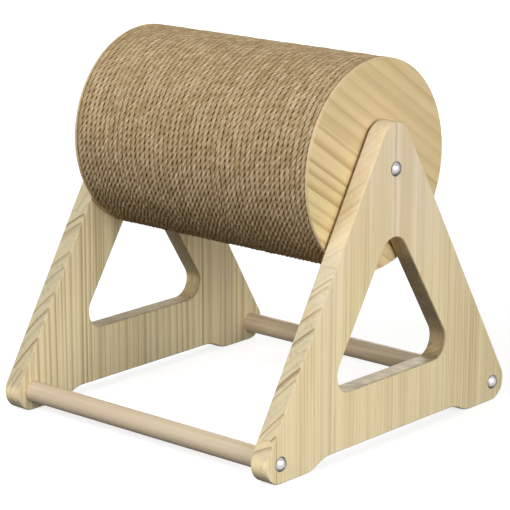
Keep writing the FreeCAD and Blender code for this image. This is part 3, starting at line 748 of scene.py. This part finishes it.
def wooden_finishes():
    """The finish of each wooden piece. A panel's heights count from the floor, not from its middle."""
    boards = (
        ("left_side_panel", "left_panel_pine", GRAIN_UP, STRIPED_PANEL_COLOURS, STRIPED_PANEL),
        ("left_end_disc", "left_disc_pine", GRAIN_ACROSS_DISC, LEFT_DISC_SHADED_COLOURS, LEFT_DISC),
        ("right_side_panel", "right_panel_pine", GRAIN_UP, QUIET_PANEL_COLOURS, QUIET_PANEL),
        ("right_end_disc", "right_disc_pine", GRAIN_ACROSS_DISC, RIGHT_DISC_COLOURS, RIGHT_DISC),
        ("front_crossbar", "front_dowel_wood", GRAIN_ALONG_X, FRONT_DOWEL_COLOURS, FRONT_DOWEL),
        ("rear_crossbar", "rear_dowel_wood", GRAIN_ALONG_X, REAR_DOWEL_PAINTED_LIGHT_COLOURS, REAR_DOWEL),
    )
    finishes = {}
    for node, name, turn, colours, looks in boards:
        low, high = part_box(node)
        to_middle = -(low + high) / 2
        centre = (to_middle.x, 0.0, 0.0) if turn == GRAIN_UP else tuple(to_middle)
        finishes[node] = pine(name, turn, centre, colours, **looks)
    return finishes


def other_finishes():
    """The finish of each metal, plastic or board piece of the frame."""
    # Bolt heads: a painted highlight where the dome faces outwards, forwards and a little up, and a
    # painted dark reflection elsewhere.
    foot_chrome = chrome_with_painted_highlight("foot_bolt_chrome_painted_highlight", srgb(206, 204, 204), srgb(66, 63, 62),
                               highlight_toward=(0.86, -0.44, 0.26), reach=0.66)
    axle_chrome = chrome_with_painted_highlight("axle_bolt_chrome_painted_highlight", srgb(196, 194, 194), srgb(72, 69, 67),
                               highlight_toward=(0.80, -0.52, 0.28), reach=0.62)
    steel = plain_piece("drawn_steel", srgb(196, 196, 198), srgb(150, 150, 152),
                        roughness=(0.25, 0.45), metallic=1.0, grain=(0.05, 1.0, 1.0))
    brass = plain_piece("insert_brass", srgb(214, 186, 118), srgb(170, 140, 80),
                        roughness=(0.25, 0.45), metallic=1.0)
    nylon = plain_piece("white_nylon", srgb(232, 231, 226), srgb(214, 211, 202),
                        roughness=(0.38, 0.55))
    board = plain_piece("brown_board", srgb(176, 146, 106), srgb(150, 120, 84),
                        roughness=(0.8, 0.95), grain=(1.0, 0.2, 0.2))
    return {
        "crossbar_bolts": foot_chrome,
        "axle_bolts": axle_chrome,
        "axle_rod": steel,
        "core_tube_brads": steel,
        "crossbar_inserts": brass,
        "left_bushing": nylon,
        "right_bushing": nylon,
        "left_axle_washer": nylon,
        "right_axle_washer": nylon,
        "core_tube": board,
    }


def dress_nodes():
    """Gives every piece of the frame its finish."""
    for node, finish in {**wooden_finishes(), **other_finishes()}.items():
        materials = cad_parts[node].data.materials
        materials.clear()
        materials.append(finish)


def wind_drum():
    """Winds the rope on the drum, with the sleeve below it, coloured as the rope in painted shade."""
    # The rope's shade colour is painted shade between its strands.
    rope = rope_material("rope_fibre", dark=srgb(156, 132, 94), middle=srgb(187, 165, 130),
                         light=srgb(212, 193, 161), shade=srgb(100, 76, 41))
    # The sleeve's colours are the rope's, darkened: painted shade that shows in the gaps between turns.
    below = rope_material("rope_below_shaded", dark=srgb(96, 76, 48), middle=srgb(112, 90, 60),
                          light=srgb(130, 106, 72), shade=srgb(60, 46, 28))
    wound = wound_rope(rope)
    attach(wound, "drum")
    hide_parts("rope_winding")
    base = under_layer(below)
    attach(base, "drum")


# Stage

WHITE = (1.0, 1.0, 1.0, 1.0)
WARM = (1.0, 0.82, 0.50, 1.0)
WORLD_LIGHT = 0.03

# The floor: what it throws back up, how bright its shadows look, its grey, and where it turns white.
FLOOR_HALF_SIDE = 30.0
FLOOR_BOUNCE = 0.02
FLOOR_LIFT = 0.78
FLOOR_GREY = 0.38
FLOOR_FADE = (0.7, 3.0)

# Lamps: azimuth and elevation in degrees as seen from the object, and power in watts.
LAMP_DISTANCE = 2.4
LAMP_WIDTH = 1.2
LAMPS = (
    ("key", -15, 41, 38),
    ("front", 12, 30, 17),
    ("side", 75, 15, 32),
    ("rear_side", 100, 12, 12.5),
    ("rear", 205, 10, 36),
    ("left", 262, 8, 30),
)


def direction(azimuth, elevation):
    """From the object towards a place in degrees: azimuth 0 is the front, and 90 the right."""
    turn, rise = math.radians(azimuth), math.radians(elevation)
    return Vector((math.sin(turn) * math.cos(rise), -math.cos(turn) * math.cos(rise), math.sin(rise)))


def soft_lamp(name, azimuth, elevation, power):
    data = bpy.data.lights.new(name, "AREA")
    data.shape = "DISK"
    data.size = LAMP_WIDTH
    data.energy = power
    lamp = bpy.data.objects.new(name, data)
    back = direction(azimuth, elevation)
    lamp.location = CAMERA_TARGET + back * LAMP_DISTANCE
    lamp.rotation_mode = "QUATERNION"
    lamp.rotation_quaternion = back.to_track_quat("Z", "Y")
    bpy.context.scene.collection.objects.link(lamp)


def seen_by_eye(tree):
    """1 for rays that come from the camera, straight or by way of metal or glass."""
    path = add(tree, "LightPath").outputs
    either = maths(tree, "MAXIMUM", path["Is Camera Ray"], path["Is Glossy Ray"])
    return maths(tree, "MAXIMUM", either, path["Is Transmission Ray"])


def white_world():
    """A white background, and an even warm light of its own strength."""
    world = bpy.data.worlds.new("studio")
    bpy.context.scene.world = world
    world.use_nodes = True
    tree = world.node_tree
    tree.nodes.clear()
    eye = seen_by_eye(tree)
    strength = plus(tree, times(tree, eye, 1.0 - WORLD_LIGHT), WORLD_LIGHT)
    colour = blend_colours(tree, eye, WARM, WHITE)
    surface = add(tree, "Background", {"Color": colour, "Strength": strength})
    wire(tree, add(tree, "OutputWorld").inputs["Surface"], surface.outputs[0])


def pale_floor():
    """A white floor that keeps a soft shadow and throws little light back up."""
    material = bpy.data.materials.new("pale_floor")
    material.use_nodes = True
    tree = material.node_tree
    tree.nodes.clear()
    eye = seen_by_eye(tree)
    far = smooth(tree, length_of(tree, object_place(tree)), *FLOOR_FADE)
    lift = spread(tree, far, FLOOR_LIFT, 1.0)
    bounced = tuple(FLOOR_BOUNCE * level for level in WARM[:3])
    colour = blend_colours(tree, eye, (*bounced, 1.0), (FLOOR_GREY, FLOOR_GREY, FLOOR_GREY, 1.0))
    diffuse = add(tree, "BsdfDiffuse", {"Color": colour})
    glow = add(tree, "Emission", {"Color": WHITE, "Strength": times(tree, eye, lift)})
    both = add(tree, "AddShader", {0: diffuse.outputs[0], 1: glow.outputs[0]})
    wire(tree, add(tree, "OutputMaterial").inputs["Surface"], both.outputs[0])
    corners = np.array([(-1, -1, 0), (1, -1, 0), (1, 1, 0), (-1, 1, 0)], float) * FLOOR_HALF_SIDE
    floor = mesh_piece("floor", corners, np.array([[0, 1, 2, 3]]), material)


def set_camera():
    data = bpy.data.cameras.new("camera")
    data.lens = CAMERA_LENS_MM
    data.sensor_width = CAMERA_SENSOR_MM
    data.clip_start = CAMERA_DISTANCE / CAMERA_CLIP_RATIO
    data.clip_end = CAMERA_DISTANCE * CAMERA_CLIP_RATIO
    camera = bpy.data.objects.new("camera", data)
    back = direction(CAMERA_AZIMUTH, CAMERA_ELEVATION)
    camera.location = CAMERA_TARGET + back * CAMERA_DISTANCE
    camera.rotation_mode = "QUATERNION"
    level = back.to_track_quat("Z", "Y")
    roll = Matrix.Rotation(-math.radians(CAMERA_ROLL), 3, "Z").to_quaternion()
    camera.rotation_quaternion = level @ roll
    bpy.context.scene.collection.objects.link(camera)
    bpy.context.scene.camera = camera


def set_stage():
    """Floor, background and lamps."""
    white_world()
    pale_floor()
    for name, azimuth, elevation, power in LAMPS:
        soft_lamp(name, azimuth, elevation, power)
    bpy.context.scene.view_settings.view_transform = "Standard"


dress_nodes()
wind_drum()
set_camera()
set_stage()
